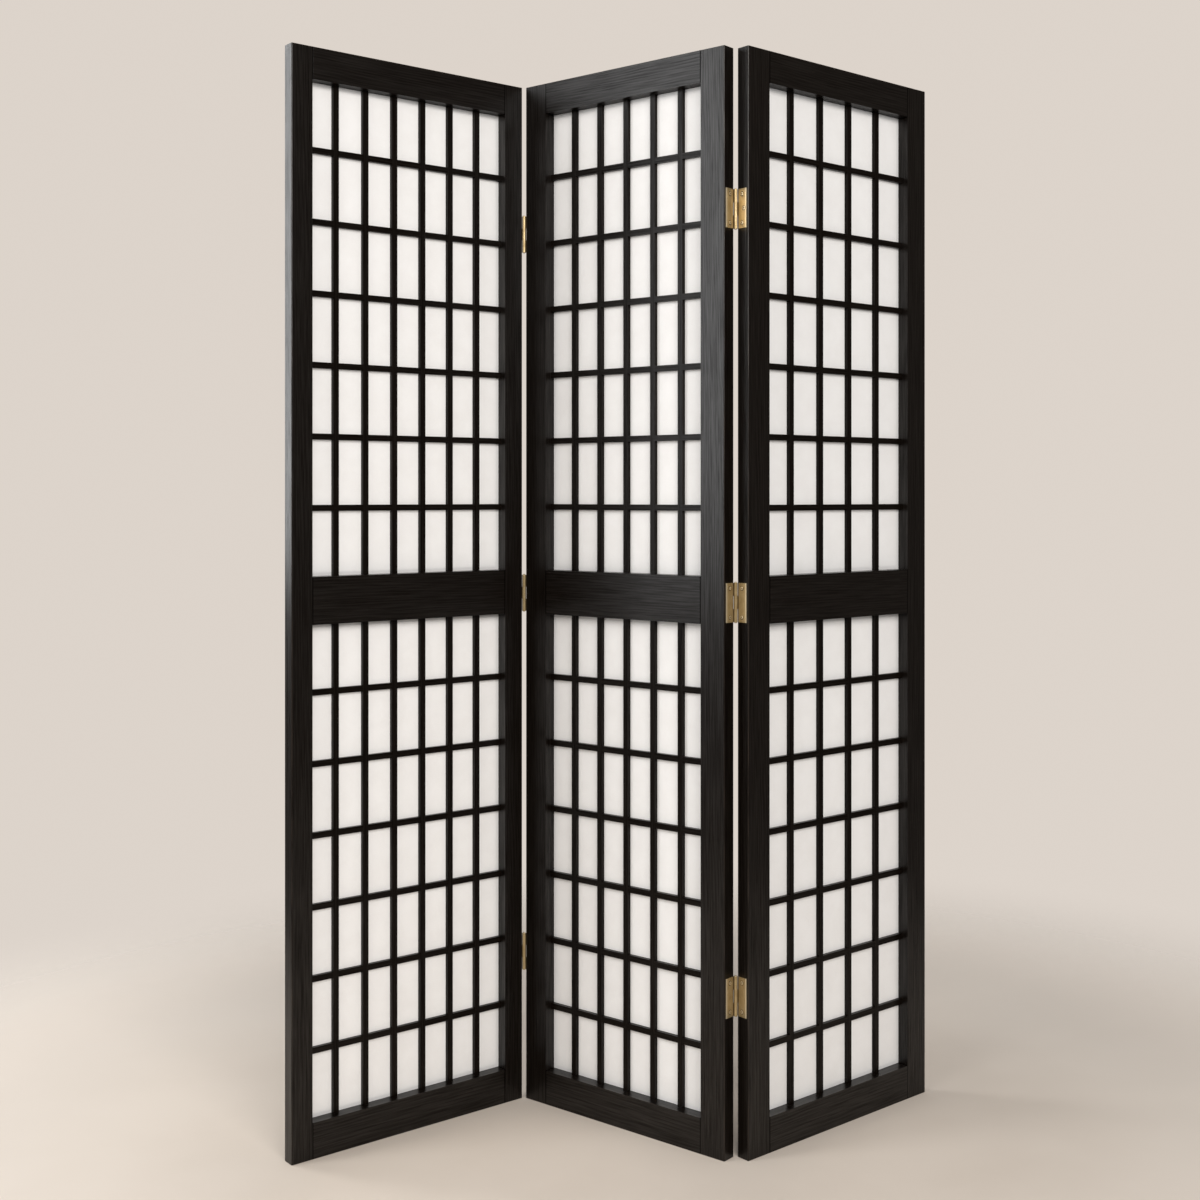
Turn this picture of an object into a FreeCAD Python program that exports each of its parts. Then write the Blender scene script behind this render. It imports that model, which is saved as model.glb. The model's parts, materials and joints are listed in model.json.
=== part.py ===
import FreeCAD
import Part
import Sketcher
import os
import re

# Three-panel shoji folding screen, standing in a zigzag on the floor.
#
# Every panel is built in its own frame: X runs along the panel from its left end face, Y runs
# from the front face to the back face, and Z is up from the floor.  The finished pieces are then
# stood in the zigzag by one pose per panel.  The screen's origin is on the floor under the middle
# of the middle panel, X runs along the screen, and the viewer stands on the -Y side.

DIMENSIONS = {
    # frame of one panel
    "panel_width": 440.0,
    "panel_height": 1785.0,
    "panel_thickness": 25.0,
    "left_panel_stile_width": 36.0,
    "middle_panel_stile_width": 48.0,
    "right_panel_stile_width": 48.0,
    "top_rail_width": 52.0,
    "middle_rail_width": 77.0,
    "bottom_rail_width": 58.0,
    "outer_arris_radius": 1.5,
    # mortise and tenon between rail and stile
    "tenon_length": 25.0,
    "tenon_thickness": 9.0,
    "tenon_shoulder": 10.0,
    "joint_clearance": 0.1,
    # half-lapped lattice that fills the opening
    "bar_width": 10.0,
    "bar_depth": 7.0,
    "lattice_setback": 14.0,
    "lap_clearance": 0.05,
    # paper behind the lattice, and the beads that hold it
    "paper_thickness": 0.4,
    "paper_margin": 0.2,
    "bead_width": 6.0,
    "mitre_gap": 0.1,
    # butt hinges on the end faces
    "hinge_height": 63.5,
    "hinge_end_distance": 259.0,
    "leaf_width": 22.0,
    "leaf_thickness": 1.5,
    "knuckle_radius": 3.25,
    "knuckle_gap": 0.2,
    "knuckle_relief": 0.5,
    "fold_standoff": 1.0,
    "pin_radius": 1.7,
    "pin_clearance": 0.05,
    "pin_end_length": 0.8,
    # zigzag: turn of the middle panel, and the angle between the faces at each fold
    "middle_turn": 38.0,
    "left_fold_angle": 101.5,
    "right_fold_angle": 99.5,
}

ROW_COUNT = 7
COLUMN_COUNT = {"left": 7, "middle": 6, "right": 5}
KNUCKLE_COUNT = 3

STILE_WIDTH = {panel: f"{panel}_panel_stile_width" for panel in COLUMN_COUNT}
OPENING_WIDTH = {panel: f"(panel_width - 2 * {STILE_WIDTH[panel]})" for panel in COLUMN_COUNT}
OPENING_HEIGHT = "((panel_height - top_rail_width - middle_rail_width - bottom_rail_width) / 2)"
OPENING_BOTTOM = {
    "lower": "bottom_rail_width",
    "upper": f"(bottom_rail_width + {OPENING_HEIGHT} + middle_rail_width)",
}
RAIL_WIDTH = {
    "bottom": "bottom_rail_width",
    "middle": "middle_rail_width",
    "top": "top_rail_width",
}
RAIL_BOTTOM = {
    "bottom": "0",
    "middle": f"(bottom_rail_width + {OPENING_HEIGHT})",
    "top": "(panel_height - top_rail_width)",
}
PAPER_FRONT = "(lattice_setback + bar_depth)"
BEAD_FRONT = f"({PAPER_FRONT} + paper_thickness)"
BEAD_DEPTH = f"(panel_thickness - {BEAD_FRONT})"
HINGE_HEIGHTS = ("hinge_end_distance", "(panel_height / 2)", "(panel_height - hinge_end_distance)")

# A hinge axis lies one knuckle radius beyond the end faces and a little outside the face that the
# fold closes on: the front face at the left fold, the back face at the right fold.
FRONT_AXIS_Y = "(-fold_standoff)"
BACK_AXIS_Y = "(panel_thickness + fold_standoff)"
LEFT_END_AXIS_X = "(-knuckle_radius)"
RIGHT_END_AXIS_X = "(panel_width + knuckle_radius)"

# Where the leaves of each fold sit: panel, hinge axis in the panel's frame, and the turn that
# brings the leaf as drawn to that end face, as an angle and its axis.
LEAF_SEATS = {
    ("left_fold", "left"): ("left", RIGHT_END_AXIS_X, FRONT_AXIS_Y, "0", "0; 0; 1"),
    ("left_fold", "right"): ("middle", LEFT_END_AXIS_X, FRONT_AXIS_Y, "180", "0; 1; 0"),
    ("right_fold", "left"): ("middle", RIGHT_END_AXIS_X, BACK_AXIS_Y, "180", "1; 0; 0"),
    ("right_fold", "right"): ("right", LEFT_END_AXIS_X, BACK_AXIS_Y, "180", "0; 0; 1"),
}

PANEL_TURN = {
    "left": "(180 - left_fold_angle - middle_turn)",
    "middle": "(-middle_turn)",
    "right": "(180 - right_fold_angle - middle_turn)",
}

doc = FreeCAD.newDocument("shoji_screen")
nodes = []


# ------------------------------------------------------------------ sheet and expressions

def make_sheet():
    """Write every driving dimension to the sheet and give its cell an alias."""
    sheet = doc.addObject("Spreadsheet::Sheet", "dims")
    for row, (name, size) in enumerate(DIMENSIONS.items(), start=1):
        sheet.set(f"A{row}", name)
        sheet.set(f"B{row}", str(size))
        sheet.setAlias(f"B{row}", name)
    doc.recompute()


def replaced(text, spelling):
    """Spell every dimension named in an expression another way."""
    def spelled(word):
        name = word.group()
        return spelling(name) if name in DIMENSIONS else name
    return re.sub(r"[a-z_]+", spelled, text)


def bound(text):
    """Put the sheet's name in front of every dimension in an expression."""
    return replaced(text, lambda name: "dims." + name)


def number(text):
    """What an expression comes to, for the first drawing of a sketch."""
    return FreeCAD.Units.Quantity(replaced(text, lambda name: repr(DIMENSIONS[name]))).Value


def placement(x="0", y="0", z="0", turn="0", axis="0; 0; 1"):
    """Expression for a placement: a turn about an axis, then a move."""
    return f"placement(vector({x}; {y}; {z}); rotation(vector({axis}); {turn}))"


def turned(x, y, angle):
    """Expressions for the point (x, y) turned about Z."""
    return (
        f"(({x}) * cos({angle}) - ({y}) * sin({angle}))",
        f"(({x}) * sin({angle}) + ({y}) * cos({angle}))",
    )


def panel_poses():
    """Poses of the three panels, joined at the two hinge axes."""
    centre_x, centre_y = turned("panel_width / 2", "panel_thickness / 2", PANEL_TURN["middle"])
    poses = {"middle": placement(f"-{centre_x}", f"-{centre_y}", "0", PANEL_TURN["middle"])}
    joints = {
        "left": (LEFT_END_AXIS_X, RIGHT_END_AXIS_X, FRONT_AXIS_Y),
        "right": (RIGHT_END_AXIS_X, LEFT_END_AXIS_X, BACK_AXIS_Y),
    }
    for panel, (x_on_middle, x_on_panel, axis_y) in joints.items():
        out_x, out_y = turned(x_on_middle, axis_y, PANEL_TURN["middle"])
        back_x, back_y = turned(x_on_panel, axis_y, PANEL_TURN[panel])
        x = f"{out_x} - {centre_x} - {back_x}"
        y = f"{out_y} - {centre_y} - {back_y}"
        poses[panel] = placement(x, y, "0", PANEL_TURN[panel])
    return poses


POSE = panel_poses()


# ------------------------------------------------------------------ building blocks

def add(kind, name, **expressions):
    """Add an object and bind its properties to expressions."""
    thing = doc.addObject(kind, name)
    for path, text in expressions.items():
        thing.setExpression(path, bound(text))
    return thing


def box(name, x, y, z, length, width, height):
    place = placement(x, y, z)
    return add("Part::Box", name, Length=length, Width=width, Height=height, Placement=place)


def copy(name, original, place):
    """A second one of an object, standing somewhere else."""
    link = add("App::Link", name, Placement=place)
    link.LinkedObject = original
    return link


def group(name, members):
    compound = doc.addObject("Part::Compound", name)
    compound.Links = members
    return compound


def cut(name, base, tools):
    result = doc.addObject("Part::Cut", name)
    result.Base = base
    result.Tool = group(name + "_tools", tools)
    return result


def finish(thing, label, panel):
    """Name a finished piece and stand it in its panel's pose."""
    thing.Label = label
    thing.setExpression("Placement", bound(POSE[panel]))
    nodes.append(thing)


def new_sketch(body, name, role):
    """Sketch on one of the body's own origin planes."""
    sketch = body.newObject("Sketcher::SketchObject", name)
    planes = {feature.Role: feature for feature in body.Origin.OriginFeatures}
    sketch.AttachmentSupport = [(planes[role], "")]
    sketch.MapMode = "FlatFace"
    return sketch


def measure(sketch, kind, name, text, *where):
    """Dimension a sketch and bind the dimension to an expression."""
    index = sketch.addConstraint(Sketcher.Constraint(kind, *where, number(text)))
    sketch.renameConstraint(index, name)
    sketch.setExpression("Constraints." + name, bound(text))


def draw_outline(sketch, points):
    """Closed outline of straight lines with every corner dimensioned from the sketch's origin."""
    corners = [FreeCAD.Vector(number(x), number(y), 0) for x, y in points]
    count = len(corners)
    for i in range(count):
        sketch.addGeometry(Part.LineSegment(corners[i], corners[(i + 1) % count]), False)
    for i in range(count):
        sketch.addConstraint(Sketcher.Constraint("Coincident", i, 2, (i + 1) % count, 1))
    for i, (x, y) in enumerate(points):
        if x == "0":
            sketch.addConstraint(Sketcher.Constraint("PointOnObject", i, 1, -2))
        else:
            measure(sketch, "DistanceX", f"x{i}", x, -1, 1, i, 1)
        if y == "0":
            sketch.addConstraint(Sketcher.Constraint("PointOnObject", i, 1, -1))
        else:
            measure(sketch, "DistanceY", f"y{i}", y, -1, 1, i, 1)


def pad(body, name, sketch, length):
    feature = body.newObject("PartDesign::Pad", name)
    feature.Profile = sketch
    feature.setExpression("Length", bound(length))
    doc.recompute()
    return feature


# ------------------------------------------------------------------ frame members

def stock(name, role, across, up, length):
    """Planed stick: a rectangle padded to length."""
    body = doc.addObject("PartDesign::Body", name)
    sketch = new_sketch(body, name + "_section", role)
    draw_outline(sketch, [("0", "0"), (across, "0"), (across, up), ("0", up)])
    pad(body, name + "_pad", sketch, length)
    return body


def make_stile(panel, side, mortises):
    """Upright of the frame, full height, with its two outer arrises rounded."""
    name = f"{panel}_{side}_stile"
    width = STILE_WIDTH[panel]
    stick = stock(name + "_stick", "XY_Plane", width, "panel_thickness", "panel_height")
    square_stick = stick.Tip
    middle_x = number(f"{width} / 2")
    faces_left = side == "left"
    outer_arrises = [
        f"Edge{i}"
        for i, edge in enumerate(square_stick.Shape.Edges, start=1)
        if edge.Length > number("panel_height / 2")
        and (edge.CenterOfMass.x < middle_x) == faces_left
    ]
    rounding = stick.newObject("PartDesign::Fillet", name + "_arrises")
    rounding.Base = (square_stick, outer_arrises)
    rounding.setExpression("Radius", bound("outer_arris_radius"))
    x = "0" if faces_left else f"(panel_width - {width})"
    stick.setExpression("Placement", bound(placement(x)))
    finish(cut(name, stick, mortises), f"{panel}_panel_{side}_stile", panel)


def tenon(name, panel, rail, clearance):
    """Tenon through a rail and out at both ends; with clearance, the mortises for it."""
    return box(
        name,
        f"{STILE_WIDTH[panel]} - tenon_length - {clearance}",
        f"(panel_thickness - tenon_thickness) / 2 - {clearance}",
        f"{RAIL_BOTTOM[rail]} + tenon_shoulder - {clearance}",
        f"{OPENING_WIDTH[panel]} + 2 * tenon_length + 2 * {clearance}",
        f"tenon_thickness + 2 * {clearance}",
        f"{RAIL_WIDTH[rail]} - 2 * tenon_shoulder + 2 * {clearance}",
    )


def make_rail(panel, rail):
    """Cross member between the stiles, with a tenon at each end."""
    name = f"{panel}_{rail}_rail"
    stick = stock(name + "_stick", "YZ_Plane", "panel_thickness", RAIL_WIDTH[rail],
                  OPENING_WIDTH[panel])
    stick.setExpression("Placement",
                        bound(placement(STILE_WIDTH[panel], "0", RAIL_BOTTOM[rail])))
    member = doc.addObject("Part::MultiFuse", name)
    member.Shapes = [stick, tenon(name + "_tenon", panel, rail, "0")]
    finish(member, f"{panel}_panel_{rail}_rail", panel)


# ------------------------------------------------------------------ lattice, paper and beads

def bar_start(index, count, opening_start, opening_size):
    """Near edge of one bar of a row that leaves equal gaps in the opening."""
    gap = f"(({opening_size} - {count} * bar_width) / {count + 1})"
    return f"({opening_start} + {index + 1} * {gap} + {index} * bar_width)"


def bars(name, panel, half, kind, margin, y, depth):
    """Boxes along the bars of one opening, wider than the bars by a margin on each side."""
    boxes = []
    upright = kind == "uprights"
    count = COLUMN_COUNT[panel] - 1 if upright else ROW_COUNT - 1
    width = f"bar_width + 2 * {margin}"
    low = OPENING_BOTTOM[half]
    left = STILE_WIDTH[panel]
    for i in range(count):
        if upright:
            x = f"{bar_start(i, count, left, OPENING_WIDTH[panel])} - {margin}"
            sizes = (x, y, low, width, depth, OPENING_HEIGHT)
        else:
            z = f"{bar_start(i, count, low, OPENING_HEIGHT)} - {margin}"
            sizes = (left, y, z, OPENING_WIDTH[panel], depth, width)
        boxes.append(box(f"{name}_{i + 1}", *sizes))
    return boxes


def make_lattice(panel, half):
    """Uprights and crossbars of one opening, halved into each other where they cross.

    The front half of each crossbar and the back half of each upright is cut away.
    """
    mid_depth = "lattice_setback + bar_depth / 2"
    cuts = {"uprights": ("crossbars", mid_depth), "crossbars": ("uprights", "lattice_setback")}
    for kind, (other, notch_y) in cuts.items():
        name = f"{panel}_{half}_{kind}"
        whole = bars(name + "_bar", panel, half, kind, "0", "lattice_setback", "bar_depth")
        notches = bars(name + "_notch", panel, half, other, "lap_clearance", notch_y,
                       "bar_depth / 2")
        lattice = cut(name, group(name + "_blanks", whole), notches)
        finish(lattice, f"{panel}_panel_{half}_{kind}", panel)


def make_paper(panel, half):
    """Sheet of paper flat against the back of the lattice."""
    name = f"{panel}_{half}_paper"
    sheet = box(
        name + "_sheet",
        f"{STILE_WIDTH[panel]} + paper_margin",
        PAPER_FRONT,
        f"{OPENING_BOTTOM[half]} + paper_margin",
        f"{OPENING_WIDTH[panel]} - 2 * paper_margin",
        "paper_thickness",
        f"{OPENING_HEIGHT} - 2 * paper_margin",
    )
    finish(group(name, [sheet]), f"{panel}_panel_{half}_paper", panel)


def bead(name, length, place):
    """Mitred bead lying along X: its long edge at Y = 0, its ends cut at 45 degrees."""
    sizes = {
        "Xmin": "mitre_gap", "Xmax": f"{length} - mitre_gap",
        "Ymin": "0", "Ymax": "bead_width",
        "Zmin": "0", "Zmax": BEAD_DEPTH,
        "X2min": "mitre_gap + bead_width", "X2max": f"{length} - mitre_gap - bead_width",
        "Z2min": "0", "Z2max": BEAD_DEPTH,
    }
    return add("Part::Wedge", name, Placement=place, **sizes)


def make_beads(panel, half):
    """Four mitred beads that hold the paper, round the back of one opening.

    A bead is drawn lying flat, so each one is turned to face forward and then along its side.
    """
    name = f"{panel}_{half}_beads"
    low = OPENING_BOTTOM[half]
    high = f"({low} + {OPENING_HEIGHT})"
    left = STILE_WIDTH[panel]
    right = f"(panel_width - {left})"
    forward = "rotation(vector(1; 0; 0); 90)"
    sides = {
        "bottom": (left, low, OPENING_WIDTH[panel], "0"),
        "right": (right, low, OPENING_HEIGHT, "270"),
        "top": (right, high, OPENING_WIDTH[panel], "180"),
        "left": (left, high, OPENING_HEIGHT, "90"),
    }
    beads = []
    for side, (x, z, length, turn) in sides.items():
        along = f"rotation(vector(0; 1; 0); {turn})"
        place = f"placement(vector({x}; panel_thickness; {z}); {along} * {forward})"
        beads.append(bead(f"{name}_{side}", length, place))
    finish(group(name, beads), f"{panel}_panel_{half}_beads", panel)


# ------------------------------------------------------------------ hinges

def leaf_blank():
    """Leaf with its rolled barrel along the whole height, seen down the hinge axis.

    The plate stands tangent to the barrel on the -X side and runs towards +Y.
    """
    radius = number("knuckle_radius")
    width = number("leaf_width")
    inner_x = number("leaf_thickness - knuckle_radius")
    inner_y = (radius ** 2 - inner_x ** 2) ** 0.5
    tangent = FreeCAD.Vector(-radius, 0, 0)
    meeting = FreeCAD.Vector(inner_x, inner_y, 0)
    outer_tip = FreeCAD.Vector(-radius, width, 0)
    inner_tip = FreeCAD.Vector(inner_x, width, 0)

    body = doc.addObject("PartDesign::Body", "leaf_blank")
    sketch = new_sketch(body, "leaf_section", "XY_Plane")
    sketch.addGeometry(Part.LineSegment(outer_tip, tangent), False)
    sketch.addGeometry(Part.Arc(tangent, FreeCAD.Vector(radius, 0, 0), meeting), False)
    sketch.addGeometry(Part.LineSegment(meeting, inner_tip), False)
    sketch.addGeometry(Part.LineSegment(inner_tip, outer_tip), False)
    joined = [(0, 2, 1, 1), (1, 2, 2, 1), (2, 2, 3, 1), (3, 2, 0, 1), (1, 3, -1, 1)]
    for ends in joined:
        sketch.addConstraint(Sketcher.Constraint("Coincident", *ends))
    sketch.addConstraint(Sketcher.Constraint("Vertical", 0))
    sketch.addConstraint(Sketcher.Constraint("Vertical", 2))
    sketch.addConstraint(Sketcher.Constraint("Horizontal", 3))
    sketch.addConstraint(Sketcher.Constraint("PointOnObject", 0, 2, -1))
    measure(sketch, "Radius", "barrel", "knuckle_radius", 1)
    measure(sketch, "DistanceX", "plate", "leaf_thickness", 3, 2, 3, 1)
    measure(sketch, "DistanceY", "reach", "leaf_width", -1, 1, 3, 2)
    pad(body, "leaf_pad", sketch, "hinge_height")
    body.setExpression("Placement", bound(placement("0", "0", "-hinge_height / 2")))
    return body


def make_leaf(name, blank, first_gap):
    """Leaf with the pin's bore, and gaps for the other leaf's knuckles."""
    bore = add("Part::Cylinder", name + "_bore", Radius="pin_radius + pin_clearance",
               Height="hinge_height", Placement=placement("0", "0", "-hinge_height / 2"))
    knuckle = f"(hinge_height / {KNUCKLE_COUNT})"
    gap_side = "-(knuckle_radius + knuckle_relief)"
    gap_size = "2 * (knuckle_radius + knuckle_relief)"
    gaps = [
        box(f"{name}_gap_{k + 1}", gap_side, gap_side,
            f"-hinge_height / 2 + {k} * {knuckle} - knuckle_gap / 2",
            gap_size, gap_size, f"{knuckle} + knuckle_gap")
        for k in range(first_gap, KNUCKLE_COUNT, 2)
    ]
    return cut(name, blank, [bore] + gaps)


def on_hinges(name, original, fold, side):
    """One copy of a hinge part at each of the three hinges, on one side of a fold."""
    axis_x, axis_y, turn, axis = LEAF_SEATS[fold, side][1:]
    return [
        copy(f"{name}_{i + 1}", original, placement(axis_x, axis_y, height, turn, axis))
        for i, height in enumerate(HINGE_HEIGHTS)
    ]


def make_hinges():
    """Leaves and pins of both folds; the middle panel carries the outer knuckles and the pins."""
    blank = leaf_blank()
    two_knuckles = make_leaf("two_knuckle_leaf", blank, 1)
    one_knuckle = make_leaf("one_knuckle_leaf", blank, 0)
    pin = add("Part::Cylinder", "pin", Radius="pin_radius",
              Height="hinge_height + 2 * pin_end_length",
              Placement=placement("0", "0", "-(hinge_height / 2 + pin_end_length)"))
    centred_pin = group("centred_pin", [pin])
    for (fold, side), seat in LEAF_SEATS.items():
        panel = seat[0]
        leaf = two_knuckles if panel == "middle" else one_knuckle
        name = f"{fold}_{side}_leaves"
        finish(group(name, on_hinges(name + "_hinge", leaf, fold, side)), name, panel)
        if panel == "middle":
            pins = on_hinges(fold + "_pin", centred_pin, fold, side)
            finish(group(fold + "_pins", pins), fold + "_pins", panel)


# ------------------------------------------------------------------ panels

def make_panel(panel):
    """Frame, lattice, paper and beads of one panel."""
    mortises = [
        tenon(f"{panel}_{rail}_mortise", panel, rail, "joint_clearance") for rail in RAIL_WIDTH
    ]
    for side in ("left", "right"):
        make_stile(panel, side, mortises)
    for rail in RAIL_WIDTH:
        make_rail(panel, rail)
    for half in OPENING_BOTTOM:
        make_lattice(panel, half)
        make_paper(panel, half)
        make_beads(panel, half)


def check():
    """Stop if an object failed to build or a finished piece is not made of closed solids."""
    for thing in doc.Objects:
        if "Invalid" in thing.State or "Error" in thing.State:
            raise RuntimeError(f"{thing.Name}: {thing.State}")
    for node in nodes:
        shape = node.Shape
        if shape.isNull() or not shape.isValid() or not shape.Solids:
            raise RuntimeError(f"{node.Label} has no valid shape")
        if not all(solid.isClosed() and solid.Volume > 0 for solid in shape.Solids):
            raise RuntimeError(f"{node.Label} is not closed")


make_sheet()
for panel_name in COLUMN_COUNT:
    make_panel(panel_name)
make_hinges()
doc.recompute()
check()
os.makedirs("parts", exist_ok=True)
for node in nodes:
    node.Shape.exportStep(f"parts/{node.Label}.step")
print(len(nodes), "nodes,", sum(len(node.Shape.Solids) for node in nodes), "solids")
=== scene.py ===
"""Looks of a three-panel shoji folding screen: black-stained wood, white paper and brass hinges."""

import json
import math

import bmesh
import bpy
from mathutils import Matrix, Vector, noise


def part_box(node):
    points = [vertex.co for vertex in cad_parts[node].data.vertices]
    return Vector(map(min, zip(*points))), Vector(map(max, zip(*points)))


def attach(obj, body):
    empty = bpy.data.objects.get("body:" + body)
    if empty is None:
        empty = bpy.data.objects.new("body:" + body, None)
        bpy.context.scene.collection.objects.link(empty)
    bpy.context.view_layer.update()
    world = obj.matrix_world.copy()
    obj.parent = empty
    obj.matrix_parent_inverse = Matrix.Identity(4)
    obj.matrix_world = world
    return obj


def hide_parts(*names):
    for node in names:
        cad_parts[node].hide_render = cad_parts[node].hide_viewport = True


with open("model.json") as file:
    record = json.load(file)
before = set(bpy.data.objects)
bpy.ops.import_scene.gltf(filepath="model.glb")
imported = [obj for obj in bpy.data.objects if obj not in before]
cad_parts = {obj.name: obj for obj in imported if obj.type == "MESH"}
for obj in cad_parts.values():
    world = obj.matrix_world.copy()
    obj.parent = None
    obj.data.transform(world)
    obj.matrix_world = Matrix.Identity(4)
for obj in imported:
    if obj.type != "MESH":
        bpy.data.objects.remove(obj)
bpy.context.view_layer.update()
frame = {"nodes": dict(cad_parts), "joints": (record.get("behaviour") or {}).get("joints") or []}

MM = 0.001

# one panel, in its own frame: X along the panel, Y from front to back, Z up
PANEL_WIDTH = 440 * MM
PANEL_THICKNESS = 25 * MM
PANEL_HEIGHT = 1785 * MM
STILE_WIDTH = {"left": 36 * MM, "middle": 48 * MM, "right": 48 * MM}
PAPER_MARGIN = 0.2 * MM
PAPER_FRONT = 21 * MM
PAPER_THICKNESS = 0.4 * MM
BEAD_WIDTH = 6 * MM
ROWS = 7
COLUMNS = {"left": 7, "middle": 6, "right": 5}

# hinges
KNUCKLE_RADIUS = 3.25 * MM
LEAF_WIDTH = 22 * MM
LEAF_THICKNESS = 1.5 * MM
FOLD_STANDOFF = 1 * MM
HINGE_HEIGHT = 63.5 * MM
PIN_RADIUS = 1.7 * MM
SCREW_RADIUS = 3.9 * MM

# zigzag: each panel's turn from the X axis, in degrees
PANEL_TURN = {"left": 40.5, "middle": -38.0, "right": 42.5}

# the two hinge axes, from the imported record
AXES = {joint["name"]: Vector(joint["pos_m"]) for joint in frame["joints"]}


def panel_frames():
    """Matrix of each panel's own frame at rest, hung on the hinge axes."""
    front = -FOLD_STANDOFF
    back = PANEL_THICKNESS + FOLD_STANDOFF
    hung = {
        "left": ("left_fold", PANEL_WIDTH + KNUCKLE_RADIUS, front),
        "middle": ("left_fold", -KNUCKLE_RADIUS, front),
        "right": ("right_fold", -KNUCKLE_RADIUS, back),
    }
    frames = {}
    for panel, (fold, x, y) in hung.items():
        turn = Matrix.Rotation(math.radians(PANEL_TURN[panel]), 4, "Z")
        axis = Vector((AXES[fold].x, AXES[fold].y, 0))
        frames[panel] = Matrix.Translation(axis) @ turn @ Matrix.Translation((-x, -y, 0))
    return frames


PANELS = panel_frames()


# ------------------------------------------------------------------ node building

class Nodes:
    """Short way to build a material's node tree."""

    def __init__(self, name):
        self.material = bpy.data.materials.new(name)
        self.material.use_nodes = True
        self.tree = self.material.node_tree
        self.tree.nodes.clear()

    def node(self, kind, settings=None, **inputs):
        made = self.tree.nodes.new("ShaderNode" + kind)
        for key, setting in (settings or {}).items():
            setattr(made, key, setting)
        for key, value in inputs.items():
            self.feed(made, key.replace("_", " "), value)
        return made

    def feed(self, node, key, value):
        socket = node.inputs[int(key)] if key.isdigit() else node.inputs[key]
        if isinstance(value, bpy.types.NodeSocket):
            self.tree.links.new(value, socket)
        else:
            socket.default_value = value

    def math(self, operation, a, b=0.0, clamp=False):
        made = self.node("Math", {"operation": operation, "use_clamp": clamp})
        self.feed(made, "0", a)
        self.feed(made, "1", b)
        return made.outputs[0]

    def ramp(self, value, low, high, start=0.0, end=1.0):
        """value from low..high to start..end, smooth and clamped."""
        made = self.node(
            "MapRange", {"interpolation_type": "SMOOTHSTEP"},
            Value=value, From_Min=low, From_Max=high, To_Min=start, To_Max=end)
        return made.outputs["Result"]

    def total(self, *weighted):
        """Sum of (value, weight) pairs."""
        added = 0.0
        for value, weight in weighted:
            added = self.math("ADD", added, self.math("MULTIPLY", value, weight))
        return added

    def nearer(self, value, low, high):
        """Distance from the nearer of two values."""
        below = self.math("ABSOLUTE", self.math("SUBTRACT", value, low))
        above = self.math("ABSOLUTE", self.math("SUBTRACT", value, high))
        return self.math("MINIMUM", below, above)

    def distance(self, a, b):
        squares = self.math("ADD", self.math("POWER", a, 2.0), self.math("POWER", b, 2.0))
        return self.math("SQRT", squares)

    def blend(self, factor, a, b):
        made = self.node("Mix", {"data_type": "RGBA"})
        self.feed(made, "0", factor)
        self.feed(made, "6", a)
        self.feed(made, "7", b)
        return made.outputs[2]

    def scaled(self, vector, scale, location=(0, 0, 0), rotation=(0, 0, 0)):
        made = self.node("Mapping", Vector=vector, Scale=scale, Location=location, Rotation=rotation)
        return made.outputs[0]

    def noise(self, vector, detail=4.0, roughness=0.55, distortion=0.0):
        made = self.node("TexNoise", Vector=vector, Scale=1.0, Detail=detail,
                         Roughness=roughness, Distortion=distortion)
        return made.outputs["Fac"]

    def output(self, shader):
        self.tree.links.new(shader, self.node("OutputMaterial").inputs["Surface"])
        return self.material


def panel_coordinates(nodes, panel):
    """Object coordinates turned into the panel's own frame, split into X, Y and Z."""
    at_rest = nodes.node("TexCoord").outputs["Object"]
    place = PANELS[panel]
    mapped = nodes.node(
        "Mapping", {"vector_type": "TEXTURE"}, Vector=at_rest,
        Location=place.to_translation(), Rotation=place.to_euler(), Scale=(1, 1, 1))
    split = nodes.node("SeparateXYZ", Vector=mapped.outputs[0])
    return split.outputs


# ------------------------------------------------------------------ materials

WOOD_DARK = (0.0033, 0.0021, 0.0014, 1)
WOOD_LIGHT = (0.0062, 0.0041, 0.0027, 1)
WOOD_PORE = (0.0011, 0.0007, 0.0005, 1)
WOOD_WEAR_AND_HIGHLIGHT = (0.034, 0.024, 0.017, 1)
SEAM_COLOUR = (0.0008, 0.0006, 0.0005, 1)
SEAM_WIDTH = 1.9 * MM
SHEEN = {"frame": 1.0, "lattice": 0.38}


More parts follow.
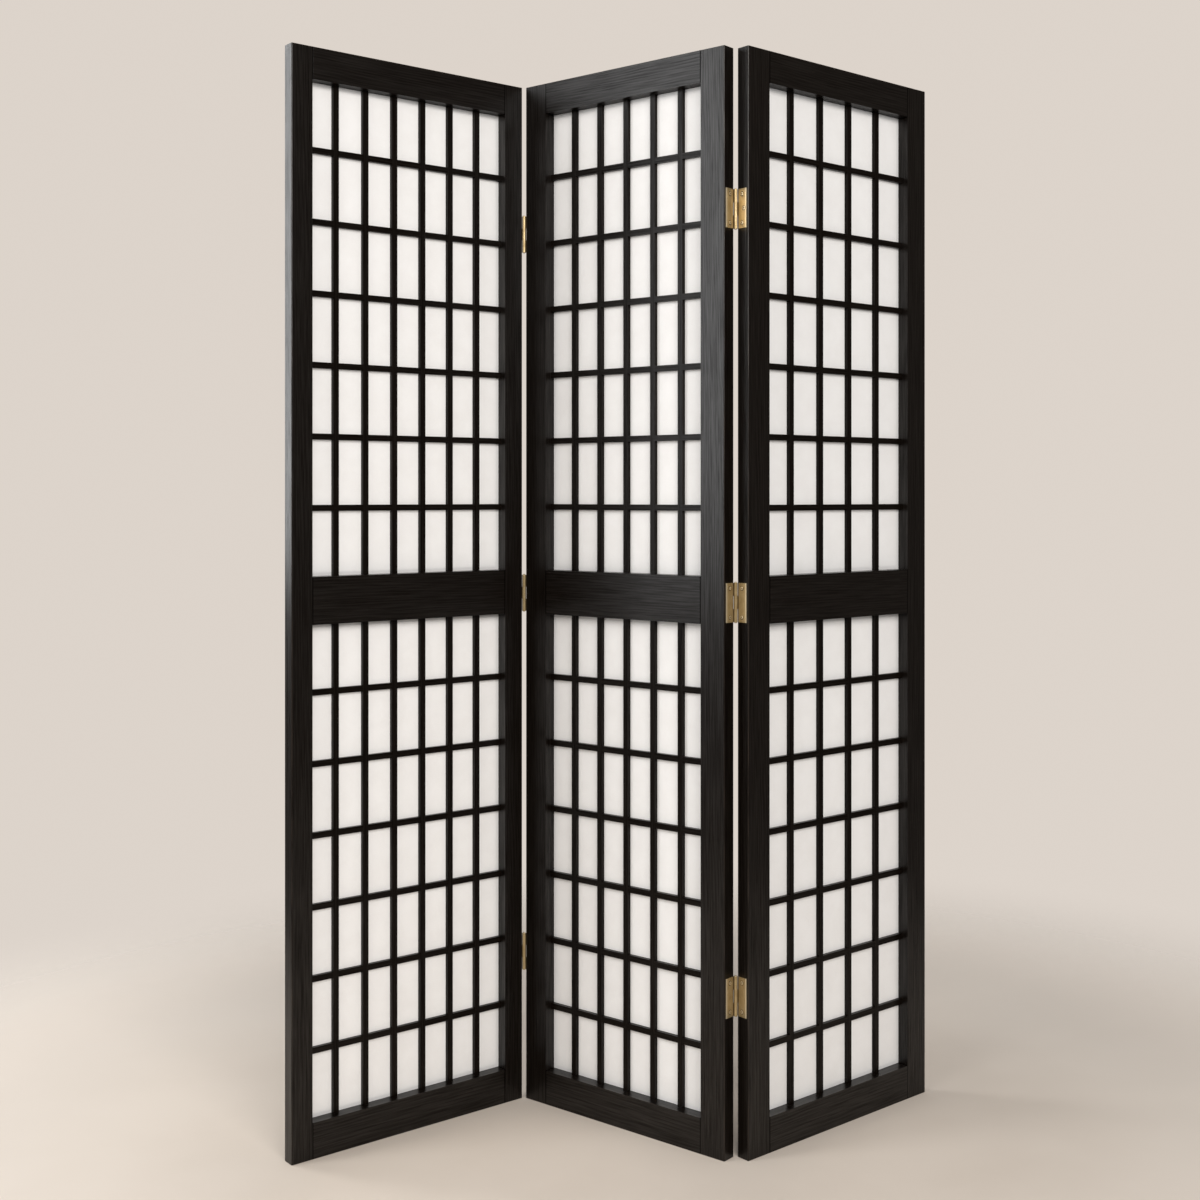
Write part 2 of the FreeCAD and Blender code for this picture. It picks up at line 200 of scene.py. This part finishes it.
def wood(panel, member, grain):
    """Black-stained open-grained wood, satin on the frame and duller on the lattice and on undersides."""
    nodes = Nodes(f"stained_wood_{panel}_{member}_{grain}")
    x, y, z = panel_coordinates(nodes, panel)
    if grain == "upright":
        across, along = x, z
    elif grain == "level":
        across, along = z, x
    else:
        across, along = mitred(nodes, panel, x, z)
    lengthwise = nodes.node("CombineXYZ", X=across, Y=y, Z=along).outputs[0]

    pores = nodes.noise(nodes.scaled(lengthwise, (1500, 1500, 28)), detail=3, roughness=0.6)
    fine = nodes.noise(nodes.scaled(lengthwise, (520, 520, 13)), detail=4, roughness=0.6)
    broad = nodes.noise(nodes.scaled(lengthwise, (150, 150, 5)), detail=3, distortion=0.3)
    drift = nodes.noise(nodes.scaled(lengthwise, (26, 26, 2.2)), detail=2)
    rings = growth_rings(nodes, lengthwise)
    streaks = nodes.total((fine, 0.7), (broad, 0.3))
    pore_mask = nodes.ramp(pores, 0.56, 0.72)

    tone = nodes.total((streaks, 0.86), (rings, 0.14))
    colour = nodes.blend(nodes.ramp(tone, 0.3, 0.72), WOOD_DARK, WOOD_LIGHT)
    colour = nodes.blend(nodes.math("MULTIPLY", pore_mask, 0.7), colour, WOOD_PORE)
    wear_and_highlight = edge_wear_and_highlight(nodes, (x, y, z), fine)
    # lighter arrises are partly a painted highlight and partly wear; the foot's scuffs are wear
    colour = nodes.blend(wear_and_highlight, colour, WOOD_WEAR_AND_HIGHLIGHT)
    seam = rail_seams(nodes, panel, x) if (member, grain) == ("frame", "level") else 0.0
    colour = nodes.blend(seam, colour, SEAM_COLOUR)

    sheen = nodes.total((streaks, 0.93), (rings, 0.07))
    specular = nodes.ramp(sheen, 0.34, 0.66, 0.17, 0.41)
    specular = nodes.math("SUBTRACT", specular, nodes.math("MULTIPLY", pore_mask, 0.12), clamp=True)
    facing = nodes.node("SeparateXYZ", Vector=nodes.node("NewGeometry").outputs["Normal"]).outputs[2]
    specular = nodes.math("MULTIPLY", specular, nodes.ramp(facing, -0.8, -0.3, 0.3, SHEEN[member]))
    specular = nodes.math("MULTIPLY", specular, nodes.math("SUBTRACT", 1.0, seam))
    roughness = nodes.total((streaks, 0.16), (drift, 0.1), (pore_mask, 0.16), (wear_and_highlight, -0.08))
    roughness = nodes.math("ADD", roughness, 0.17, clamp=True)

    height = nodes.total((streaks, 0.6), (pore_mask, -0.35), (rings, 0.08), (seam, -3.0))
    bump = nodes.node("Bump", Height=height, Strength=0.42, Distance=0.12 * MM)

    shader = nodes.node("BsdfPrincipled", Base_Color=colour, Roughness=roughness, Normal=bump.outputs[0])
    nodes.feed(shader, "Specular IOR Level", specular)
    return nodes.output(shader.outputs[0])


def edge_wear_and_highlight(nodes, place, broken):
    """Lighter arrises of a panel's outline, partly wear and partly a painted highlight, and scuffs at its
    foot, broken up by a noise.
    """
    x, y, z = place
    side = nodes.nearer(x, 0.0, PANEL_WIDTH)
    face = nodes.nearer(y, 0.0, PANEL_THICKNESS)
    end = nodes.nearer(z, 0.0, PANEL_HEIGHT)
    upright = nodes.math("MAXIMUM", side, face)
    level = nodes.math("MAXIMUM", end, face)
    corner = nodes.math("MINIMUM", upright, level)
    # painted highlight along the arrises, as well as wear
    arris = nodes.ramp(corner, 0.3 * MM, 1.5 * MM, 1.0, 0.0)
    rubbed_and_highlight = nodes.math("MULTIPLY", arris, nodes.ramp(broken, 0.38, 0.62, 0.15, 0.75))
    whole = nodes.node("CombineXYZ", X=x, Y=y, Z=z).outputs[0]
    scuff = nodes.noise(nodes.scaled(whole, (90, 90, 260)), detail=5)
    foot = nodes.math("MULTIPLY", nodes.ramp(z, 4 * MM, 45 * MM, 1.0, 0.0), nodes.ramp(scuff, 0.6, 0.74))
    return nodes.math("MAXIMUM", rubbed_and_highlight, nodes.math("MULTIPLY", foot, 0.35))


def growth_rings(nodes, lengthwise):
    """Rings of a slightly tilted trunk, so that flat faces show long pointed arches."""
    tilted = nodes.scaled(lengthwise, (1, 1, 1), location=(0.011, 0.034, 0), rotation=(0.035, 0.02, 0))
    parts = nodes.node("SeparateXYZ", Vector=tilted)
    wobble = nodes.noise(nodes.scaled(lengthwise, (22, 22, 3.0)), detail=3)
    reach = nodes.distance(parts.outputs[0], parts.outputs[1])
    turn = nodes.math("MULTIPLY", nodes.math("ADD", reach, nodes.math("MULTIPLY", wobble, 0.022)), 1250.0)
    return nodes.math("ADD", nodes.math("MULTIPLY", nodes.math("SINE", turn), 0.5), 0.5)


def from_stiles(nodes, panel, x):
    """Distance from the nearer stile's inner edge."""
    return nodes.nearer(x, STILE_WIDTH[panel], PANEL_WIDTH - STILE_WIDTH[panel])


def mitred(nodes, panel, x, z):
    """Across and along for beads that run round an opening."""
    upright = nodes.math("LESS_THAN", from_stiles(nodes, panel, x), BEAD_WIDTH)
    level = nodes.math("SUBTRACT", 1.0, upright)
    across = nodes.math("ADD", nodes.math("MULTIPLY", x, upright), nodes.math("MULTIPLY", z, level))
    along = nodes.math("ADD", nodes.math("MULTIPLY", z, upright), nodes.math("MULTIPLY", x, level))
    return across, along


def rail_seams(nodes, panel, x):
    """1 in the fine open joint at each end of a rail, where it meets the stiles."""
    return nodes.ramp(from_stiles(nodes, panel, x), SEAM_WIDTH / 2, SEAM_WIDTH, 1.0, 0.0)


PAPER_SHADED = (0.832, 0.815, 0.795, 1)
PAPER_WHITE = (0.862, 0.848, 0.83, 1)
PAPER_FIBRE = (0.895, 0.885, 0.87, 1)
PAPER_LET_THROUGH = 0.18


def paper_material():
    """White screen paper with soft clouding and long fine fibres, letting some light through."""
    nodes = Nodes("screen_paper")
    flat = nodes.node("TexCoord").outputs["Object"]
    clouds = nodes.noise(nodes.scaled(flat, (28, 28, 28)), detail=4)
    grain = nodes.noise(nodes.scaled(flat, (900, 900, 900)), detail=3)
    fibres = None
    for stretch, turn in (((70, 70, 320), 0.5), ((260, 260, 60), -0.4), ((120, 120, 150), 1.3)):
        laid = nodes.scaled(flat, stretch, rotation=(turn, 0.3, 0.2))
        field = nodes.noise(laid, detail=2, distortion=1.2)
        off_middle = nodes.math("ABSOLUTE", nodes.math("SUBTRACT", field, 0.5))
        line = nodes.ramp(off_middle, 0.004, 0.016, 1.0, 0.0)
        fibres = line if fibres is None else nodes.math("MAXIMUM", fibres, line)
    colour = nodes.blend(nodes.ramp(clouds, 0.3, 0.7), PAPER_SHADED, PAPER_WHITE)
    colour = nodes.blend(nodes.math("MULTIPLY", fibres, 0.3), colour, PAPER_FIBRE)
    height = nodes.math("ADD", nodes.math("MULTIPLY", grain, 0.4), nodes.math("MULTIPLY", fibres, 0.5))
    bump = nodes.node("Bump", Height=height, Strength=0.25, Distance=0.08 * MM)
    front = nodes.node("BsdfPrincipled", Base_Color=colour, Normal=bump.outputs[0])
    front.inputs["Roughness"].default_value = 0.82
    front.inputs["Specular IOR Level"].default_value = 0.2
    through = nodes.node("BsdfTranslucent", Color=colour)
    both = nodes.node("MixShader", Fac=PAPER_LET_THROUGH)
    nodes.tree.links.new(front.outputs[0], both.inputs[1])
    nodes.tree.links.new(through.outputs[0], both.inputs[2])
    return nodes.output(both.outputs[0])


BRASS_PALE = (0.43, 0.325, 0.17, 1)
BRASS_DEEP = (0.35, 0.25, 0.115, 1)
BRASS_TARNISH = (0.19, 0.12, 0.05, 1)
BRASS_PAINTED_SHADE = (0.045, 0.028, 0.012, 1)
BRASS_RUBBED_AND_HIGHLIGHT = (0.78, 0.66, 0.45, 1)
BRASS_METALLIC = 0.62


def brass(name, marks):
    """Satin brass with fine upright brushing and tarnish, and painted shade, lighter rubbing marks and
    painted highlights as marked.
    """
    nodes = Nodes(name)
    flat = nodes.node("TexCoord").outputs["Object"]
    brushing = nodes.noise(nodes.scaled(flat, (5200, 5200, 160)), detail=3)
    patches = nodes.noise(nodes.scaled(flat, (140, 140, 90)), detail=5, roughness=0.6)
    spots = nodes.noise(nodes.scaled(flat, (900, 900, 900)), detail=2)
    colour = nodes.blend(nodes.ramp(patches, 0.35, 0.7), BRASS_PALE, BRASS_DEEP)
    colour = nodes.blend(nodes.math("MULTIPLY", nodes.ramp(spots, 0.62, 0.78), 0.5), colour, BRASS_TARNISH)
    painted_shade, rubbed_and_highlight = marks(nodes, nodes.node("SeparateXYZ", Vector=flat).outputs)
    # painted shade where the marks give it, then lighter brass for rubbing marks and painted highlights
    colour = nodes.blend(painted_shade, colour, BRASS_PAINTED_SHADE)
    colour = nodes.blend(rubbed_and_highlight, colour, BRASS_RUBBED_AND_HIGHLIGHT)
    roughness = nodes.total((patches, 0.2), (brushing, 0.12), (painted_shade, 0.25))
    roughness = nodes.math("ADD", roughness, 0.16)
    bump = nodes.node("Bump", Height=brushing, Strength=0.3, Distance=0.02 * MM)
    shader = nodes.node("BsdfPrincipled", Base_Color=colour, Roughness=roughness, Normal=bump.outputs[0])
    shader.inputs["Metallic"].default_value = BRASS_METALLIC
    return nodes.output(shader.outputs[0])


def hinge_marks(axis):
    """Painted shade in the corner between knuckle and leaf, and a painted highlight in light brass along the
    leaf's outer edge, round one hinge axis.
    """
    def marks(nodes, place):
        across = nodes.math("SUBTRACT", place[0], axis.x)
        ahead = nodes.math("SUBTRACT", place[1], axis.y)
        reach = nodes.distance(across, ahead)
        # painted shade where the leaf meets the knuckle
        corner = nodes.ramp(reach, KNUCKLE_RADIUS + 0.05 * MM, KNUCKLE_RADIUS + 0.25 * MM)
        corner = nodes.math("MULTIPLY", corner, nodes.ramp(reach, 4.6 * MM, 6.4 * MM, 0.92, 0.0))
        # painted highlight along the leaf's outer edge
        edge = nodes.ramp(reach, LEAF_WIDTH - 2.6 * MM, LEAF_WIDTH - 1.2 * MM, 0.0, 0.85)
        return corner, edge
    return marks


def screw_marks(nodes, place):
    """Painted shade round the rim and in the cross recess of a screw head, and a lighter ring from rubbing
    between.
    """
    reach = nodes.distance(place[0], place[1])
    # painted shade of the gap round the head's rim
    rim = nodes.ramp(reach, 0.74 * SCREW_RADIUS, 0.84 * SCREW_RADIUS, 0.0, 0.97)
    # painted shade in the cross recess
    recess = nodes.math("MULTIPLY", nodes.ramp(place[2], 0.05 * MM, 0.3 * MM, 0.9, 0.0),
                        nodes.ramp(reach, 0.55 * SCREW_RADIUS, 0.64 * SCREW_RADIUS, 1.0, 0.0))
    ring = nodes.math("MULTIPLY", nodes.ramp(reach, 0.4 * SCREW_RADIUS, 0.6 * SCREW_RADIUS),
                      nodes.ramp(reach, 0.66 * SCREW_RADIUS, 0.74 * SCREW_RADIUS, 0.8, 0.0))
    return nodes.math("MAXIMUM", rim, recess), ring


MEMBERS = {
    "stile": ("frame", "upright"),
    "rail": ("frame", "level"),
    "uprights": ("lattice", "upright"),
    "crossbars": ("lattice", "level"),
    "beads": ("lattice", "mitred"),
}
WOODS = {
    (panel, member, grain): wood(panel, member, grain)
    for panel in PANELS
    for member, grain in (("frame", "upright"), ("frame", "level"), ("lattice", "upright"),
                          ("lattice", "level"), ("lattice", "mitred"))
}
PAPER = paper_material()
BRASS = {fold: brass(f"hinge_brass_{fold}", hinge_marks(axis)) for fold, axis in AXES.items()}
SCREW_BRASS = brass("screw_brass", screw_marks)


def dress_frame():
    """Give every CAD node its material."""
    for name, node in frame["nodes"].items():
        words = name.split("_")
        side, piece = words[0], words[-1]
        if words[1] == "fold":
            finish = BRASS[f"{side}_fold"]
        elif piece == "paper":
            finish = PAPER
        else:
            finish = WOODS[(side, *MEMBERS[piece])]
        node.data.materials.clear()
        node.data.materials.append(finish)


# ------------------------------------------------------------------ pieces

def add_mesh(name, mesh_data, material):
    piece = bpy.data.objects.new(name, mesh_data)
    bpy.context.scene.collection.objects.link(piece)
    mesh_data.materials.clear()
    mesh_data.materials.append(material)
    return piece


SHEET_SAG = 0.12 * MM
STEPS_PER_COLUMN = 12
STEPS_PER_ROW = 22


def paper_sheet(panel, half):
    """Taut sheet, pulled a little out of flat between the bars it is glued to."""
    node = f"{panel}_panel_{half}_paper"
    low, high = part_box(node)
    left = STILE_WIDTH[panel] + PAPER_MARGIN
    size = (PANEL_WIDTH - 2 * left, high[2] - low[2])
    columns, rows = COLUMNS[panel] * STEPS_PER_COLUMN, ROWS * STEPS_PER_ROW
    place = PANELS[panel]
    built = bmesh.new()
    grid = []
    for j in range(rows + 1):
        line = []
        for i in range(columns + 1):
            u, v = i / columns, j / rows
            cell = abs(math.sin(math.pi * u * COLUMNS[panel]) * math.sin(math.pi * v * ROWS))
            wander = noise.noise(Vector((u * 9, v * 17, len(panel) + len(half))))
            depth = PAPER_FRONT + PAPER_THICKNESS / 2 + SHEET_SAG * cell * wander
            point = Vector((left + u * size[0], depth, low[2] + v * size[1]))
            line.append(built.verts.new(place @ point))
        grid.append(line)
    for j in range(rows):
        for i in range(columns):
            built.faces.new((grid[j][i], grid[j][i + 1], grid[j + 1][i + 1], grid[j + 1][i]))
    mesh = bpy.data.meshes.new(f"{panel}_{half}_sheet")
    built.to_mesh(mesh)
    built.free()
    for face in mesh.polygons:
        face.use_smooth = True
    sheet = add_mesh(f"{panel}_{half}_sheet", mesh, PAPER)
    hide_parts(node)
    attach(sheet, f"{panel}_panel")


# ------------------------------------------------------------------ screws and pin ends

SCREW_RISE = 0.7 * MM
SCREW_SUNK = 0.4 * MM
RECESS_DEPTH = 0.8 * MM
RECESS_SPAN = 2.1 * MM
RECESS_WIDTH = 0.5 * MM


def smooth_step(value, low, high):
    t = min(max((value - low) / (high - low), 0), 1)
    return t * t * (3 - 2 * t)


def screw_height(x, y):
    """Height of the screw's face: a low dome with a rim and a cross recess."""
    r = math.hypot(x, y)
    dome = SCREW_RISE * (1 - (r / SCREW_RADIUS) ** 2.4)
    arm = min(abs(x), abs(y))
    reach = max(abs(x), abs(y))
    wall = 1 - smooth_step(arm, RECESS_WIDTH * 0.75, RECESS_WIDTH * 1.25)
    end = 1 - smooth_step(reach, RECESS_SPAN * 0.8, RECESS_SPAN)
    return dome - RECESS_DEPTH * wall * end * (1 - 0.5 * reach / RECESS_SPAN)


def screw_mesh():
    """Oval head seen along +Z, its underside a little below the leaf's face."""
    rings, sectors = 22, 56
    built = bmesh.new()
    centre = built.verts.new((0, 0, screw_height(0, 0)))
    previous = None
    for i in range(1, rings + 1):
        r = SCREW_RADIUS * i / rings
        ring = []
        for k in range(sectors):
            a = 2 * math.pi * k / sectors
            x, y = r * math.cos(a), r * math.sin(a)
            ring.append(built.verts.new((x, y, screw_height(x, y))))
        for k in range(sectors):
            after = (k + 1) % sectors
            if previous is None:
                built.faces.new((centre, ring[k], ring[after]))
            else:
                built.faces.new((previous[k], ring[k], ring[after], previous[after]))
        previous = ring
    skirt = [built.verts.new((v.co.x, v.co.y, -SCREW_SUNK)) for v in previous]
    for k in range(sectors):
        after = (k + 1) % sectors
        built.faces.new((previous[k], skirt[k], skirt[after], previous[after]))
    built.faces.new(list(reversed(skirt)))
    mesh = bpy.data.meshes.new("screw_head")
    built.to_mesh(mesh)
    built.free()
    for face in mesh.polygons:
        face.use_smooth = True
    return mesh


def lathe(name, profile, sectors):
    """Closed turned solid about Z from (radius, height) points, its ends on the axis."""
    built = bmesh.new()
    rings = []
    for r, h in profile:
        if r == 0:
            rings.append([built.verts.new((0, 0, h))])
        else:
            angles = [2 * math.pi * k / sectors for k in range(sectors)]
            rings.append([built.verts.new((r * math.cos(a), r * math.sin(a), h)) for a in angles])
    for low, high in zip(rings, rings[1:]):
        for k in range(sectors):
            after = (k + 1) % sectors
            corners = [low[k % len(low)], low[after % len(low)],
                       high[after % len(high)], high[k % len(high)]]
            unique = []
            for corner in corners:
                if corner not in unique:
                    unique.append(corner)
            built.faces.new(unique)
    bmesh.ops.recalc_face_normals(built, faces=built.faces)
    mesh = bpy.data.meshes.new(name)
    built.to_mesh(mesh)
    built.free()
    for face in mesh.polygons:
        face.use_smooth = True
    return mesh


HINGES = {"top": 1526 * MM, "middle": 892.5 * MM, "bottom": 259 * MM}
SCREW_END_INSET = 8.5 * MM
SCREW_FROM_AXIS = 12.5 * MM
THIRD_SCREW_FROM_AXIS = 17 * MM

# fold, side: panel, its end face (X and outward direction), the hinge axis's Y, direction away from the axis
LEAVES = {
    ("left_fold", "left"): ("left", PANEL_WIDTH, 1, -FOLD_STANDOFF, 1),
    ("left_fold", "right"): ("middle", 0, -1, -FOLD_STANDOFF, 1),
    ("right_fold", "left"): ("middle", PANEL_WIDTH, 1, PANEL_THICKNESS + FOLD_STANDOFF, -1),
    ("right_fold", "right"): ("right", 0, -1, PANEL_THICKNESS + FOLD_STANDOFF, -1),
}


def add_screws():
    """Two screws in every leaf, and a third in the one leaf that shows it."""
    mesh = screw_mesh()
    offset = HINGE_HEIGHT / 2 - SCREW_END_INSET
    for (fold, side), (panel, end_x, outward, axis_y, away) in LEAVES.items():
        for hinge, height in HINGES.items():
            places = [(SCREW_FROM_AXIS, offset), (SCREW_FROM_AXIS, -offset)]
            if (fold, side, hinge) == ("right_fold", "right", "top"):
                places.append((THIRD_SCREW_FROM_AXIS, 0))
            for i, (reach, lift) in enumerate(places):
                x = end_x + outward * LEAF_THICKNESS
                spot = Vector((x, axis_y + away * reach, height + lift))
                facing = Matrix.Rotation(math.radians(90 * outward), 4, "Y")
                spin = Matrix.Rotation(math.radians(37 * (i + 1) + 61 * len(hinge) + 23 * outward), 4, "Z")
                screw = add_mesh(f"{fold}_{side}_{hinge}_screw_{i + 1}", mesh, SCREW_BRASS)
                screw.matrix_world = PANELS[panel] @ Matrix.Translation(spot) @ facing @ spin
                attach(screw, f"{panel}_panel")


PIN_END_RADIUS = 1.35 * PIN_RADIUS
PIN_END_RIM = 0.3 * MM
PIN_END_CROWN = 1.3 * MM
PIN_END_STEPS = 6


def add_pin_ends():
    """Low rounded ends on the hinge pins, above and below the knuckles."""
    profile = [(0, 0), (PIN_END_RADIUS, 0), (PIN_END_RADIUS, PIN_END_RIM)]
    for i in range(1, PIN_END_STEPS):
        a = math.pi / 2 * i / PIN_END_STEPS
        profile.append((PIN_END_RADIUS * math.cos(a), PIN_END_RIM + PIN_END_CROWN * math.sin(a)))
    profile.append((0, PIN_END_RIM + PIN_END_CROWN))
    mesh = lathe("pin_end", profile, 28)
    for fold, axis in AXES.items():
        for hinge, height in HINGES.items():
            for word, sign in (("upper", 1), ("lower", -1)):
                end = add_mesh(f"{fold}_{hinge}_{word}_pin_end", mesh, SCREW_BRASS)
                place = Matrix.Translation((axis.x, axis.y, height + sign * HINGE_HEIGHT / 2))
                flip = Matrix.Rotation(0 if sign > 0 else math.pi, 4, "X")
                end.matrix_world = place @ flip
                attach(end, "middle_panel")


# ------------------------------------------------------------------ floor, light and camera

BACKDROP = (0.72, 0.655, 0.595, 1)
MIRRORED_STRENGTH = 0.22
AMBIENT = (0.95, 0.97, 1.0, 1)
AMBIENT_STRENGTH = 0.36
FLOOR = (0.67, 0.585, 0.50, 1)
FLOOR_LIGHT = (0.70, 0.615, 0.53, 1)
FLOOR_FAR_PAINTED_LIGHT = (0.93, 0.84, 0.745, 1)
FLOOR_RADIUS = 5.0
FLOOR_THICKNESS = 0.01
FLOOR_CLEARANCE = 0.5 * MM


def make_floor():
    """Pale round floor that fades out into the backdrop's colour, lighter further out as painted light that
    evens out the lamps' falloff.
    """
    outline = [(0, 0), (FLOOR_RADIUS, 0), (FLOOR_RADIUS, -FLOOR_THICKNESS), (0, -FLOOR_THICKNESS)]
    mesh = lathe("floor", outline, 96)
    for face in mesh.polygons:
        face.use_smooth = False
    floor = bpy.data.objects.new("floor", mesh)
    bpy.context.scene.collection.objects.link(floor)
    floor.location.z = -FLOOR_CLEARANCE
    nodes = Nodes("pale_floor")
    flat = nodes.node("TexCoord").outputs["Object"]
    away = nodes.node("VectorMath", {"operation": "LENGTH"})
    nodes.feed(away, "0", flat)
    soft = nodes.noise(nodes.scaled(flat, (3, 3, 3)), detail=3)
    colour = nodes.blend(nodes.ramp(soft, 0.3, 0.7), FLOOR, FLOOR_LIGHT)
    # painted light: lighter further out, where the lamps give less
    colour = nodes.blend(nodes.ramp(away.outputs["Value"], 0.55, 1.5), colour, FLOOR_FAR_PAINTED_LIGHT)
    matt = nodes.node("BsdfPrincipled", Base_Color=colour)
    matt.inputs["Roughness"].default_value = 0.75
    matt.inputs["Specular IOR Level"].default_value = 0.2
    clear = nodes.node("BsdfTransparent")
    fade = nodes.ramp(away.outputs["Value"], 0.8, 2.0)
    mixed = nodes.node("MixShader", Fac=fade)
    nodes.tree.links.new(matt.outputs[0], mixed.inputs[1])
    nodes.tree.links.new(clear.outputs[0], mixed.inputs[2])
    mesh.materials.append(nodes.output(mixed.outputs[0]))


def make_world():
    """Pale backdrop for the camera and dimmer surroundings for the light it gives."""
    world = bpy.data.worlds.new("studio")
    bpy.context.scene.world = world
    world.use_nodes = True
    tree = world.node_tree
    tree.nodes.clear()
    path = tree.nodes.new("ShaderNodeLightPath")
    seen = tree.nodes.new("ShaderNodeBackground")
    seen.inputs["Color"].default_value = BACKDROP
    mirrored = tree.nodes.new("ShaderNodeBackground")
    mirrored.inputs["Color"].default_value = BACKDROP
    mirrored.inputs["Strength"].default_value = MIRRORED_STRENGTH
    ambient = tree.nodes.new("ShaderNodeBackground")
    ambient.inputs["Color"].default_value = AMBIENT
    ambient.inputs["Strength"].default_value = AMBIENT_STRENGTH
    glossy = tree.nodes.new("ShaderNodeMixShader")
    camera = tree.nodes.new("ShaderNodeMixShader")
    direct = tree.nodes.new("ShaderNodeMath")
    direct.operation = "MAXIMUM"
    output = tree.nodes.new("ShaderNodeOutputWorld")
    links = tree.links
    links.new(path.outputs["Is Camera Ray"], direct.inputs[0])
    links.new(path.outputs["Is Transmission Ray"], direct.inputs[1])
    links.new(path.outputs["Is Glossy Ray"], glossy.inputs[0])
    links.new(ambient.outputs[0], glossy.inputs[1])
    links.new(mirrored.outputs[0], glossy.inputs[2])
    links.new(direct.outputs[0], camera.inputs[0])
    links.new(glossy.outputs[0], camera.inputs[1])
    links.new(seen.outputs[0], camera.inputs[2])
    links.new(camera.outputs[0], output.inputs["Surface"])


def soft_box(name, place, aim, size, radiance, colour):
    """Rectangular lamp of an even brightness, aimed at a point."""
    lamp = bpy.data.lights.new(name, "AREA")
    lamp.shape = "RECTANGLE"
    lamp.size, lamp.size_y = size
    lamp.energy = radiance * math.pi * size[0] * size[1]
    lamp.color = colour
    stand = bpy.data.objects.new(name, lamp)
    bpy.context.scene.collection.objects.link(stand)
    stand.location = place
    stand.rotation_euler = (Vector(aim) - Vector(place)).to_track_quat("-Z", "Y").to_euler()


DAYLIGHT = (0.97, 0.985, 1.0)
SOFT_WHITE = (1.0, 0.98, 0.96)
WARM_WHITE = (1.0, 0.975, 0.95)


def make_lights():
    """A window in two strips at the left, a lamp at its side and a broad fill from the front."""
    middle = (0, 0, 0.9)
    soft_box("window_front", (-3.0, -1.1, 1.95), (0.1, -0.1, 1.55), (0.95, 2.3), 6.0, DAYLIGHT)
    soft_box("window_back", (-3.0, 0.95, 1.95), (-0.4, -0.1, 1.55), (0.9, 2.3), 5.0, DAYLIGHT)
    soft_box("side", (-2.3, -2.9, 2.4), middle, (1.8, 1.6), 3.4, SOFT_WHITE)
    soft_box("fill", (1.2, -4.0, 2.6), middle, (2.6, 2.0), 9.6, WARM_WHITE)


LENS = 48.0
SENSOR = 36.0
CAMERA_PLACE = (0.1268, -2.7027, 1.0672)
# where the lens points, in pixels of a square picture
PICTURE = 1200
PRINCIPAL_POINT = (700, 494)


def make_camera():
    """Level camera a little above the screen's middle, its lens shifted to frame the whole screen."""
    data = bpy.data.cameras.new("camera")
    data.lens = LENS
    data.sensor_width = SENSOR
    data.sensor_fit = "HORIZONTAL"
    data.shift_x = (PICTURE / 2 - PRINCIPAL_POINT[0]) / PICTURE
    data.shift_y = (PRINCIPAL_POINT[1] - PICTURE / 2) / PICTURE
    camera = bpy.data.objects.new("camera", data)
    bpy.context.scene.collection.objects.link(camera)
    camera.location = CAMERA_PLACE
    camera.rotation_euler = (math.radians(90), 0, 0)
    bpy.context.scene.camera = camera


dress_frame()
for panel_name in PANELS:
    for opening in ("upper", "lower"):
        paper_sheet(panel_name, opening)
add_screws()
add_pin_ends()
make_floor()
make_world()
make_lights()
make_camera()
bpy.context.scene.view_settings.view_transform = "Standard"
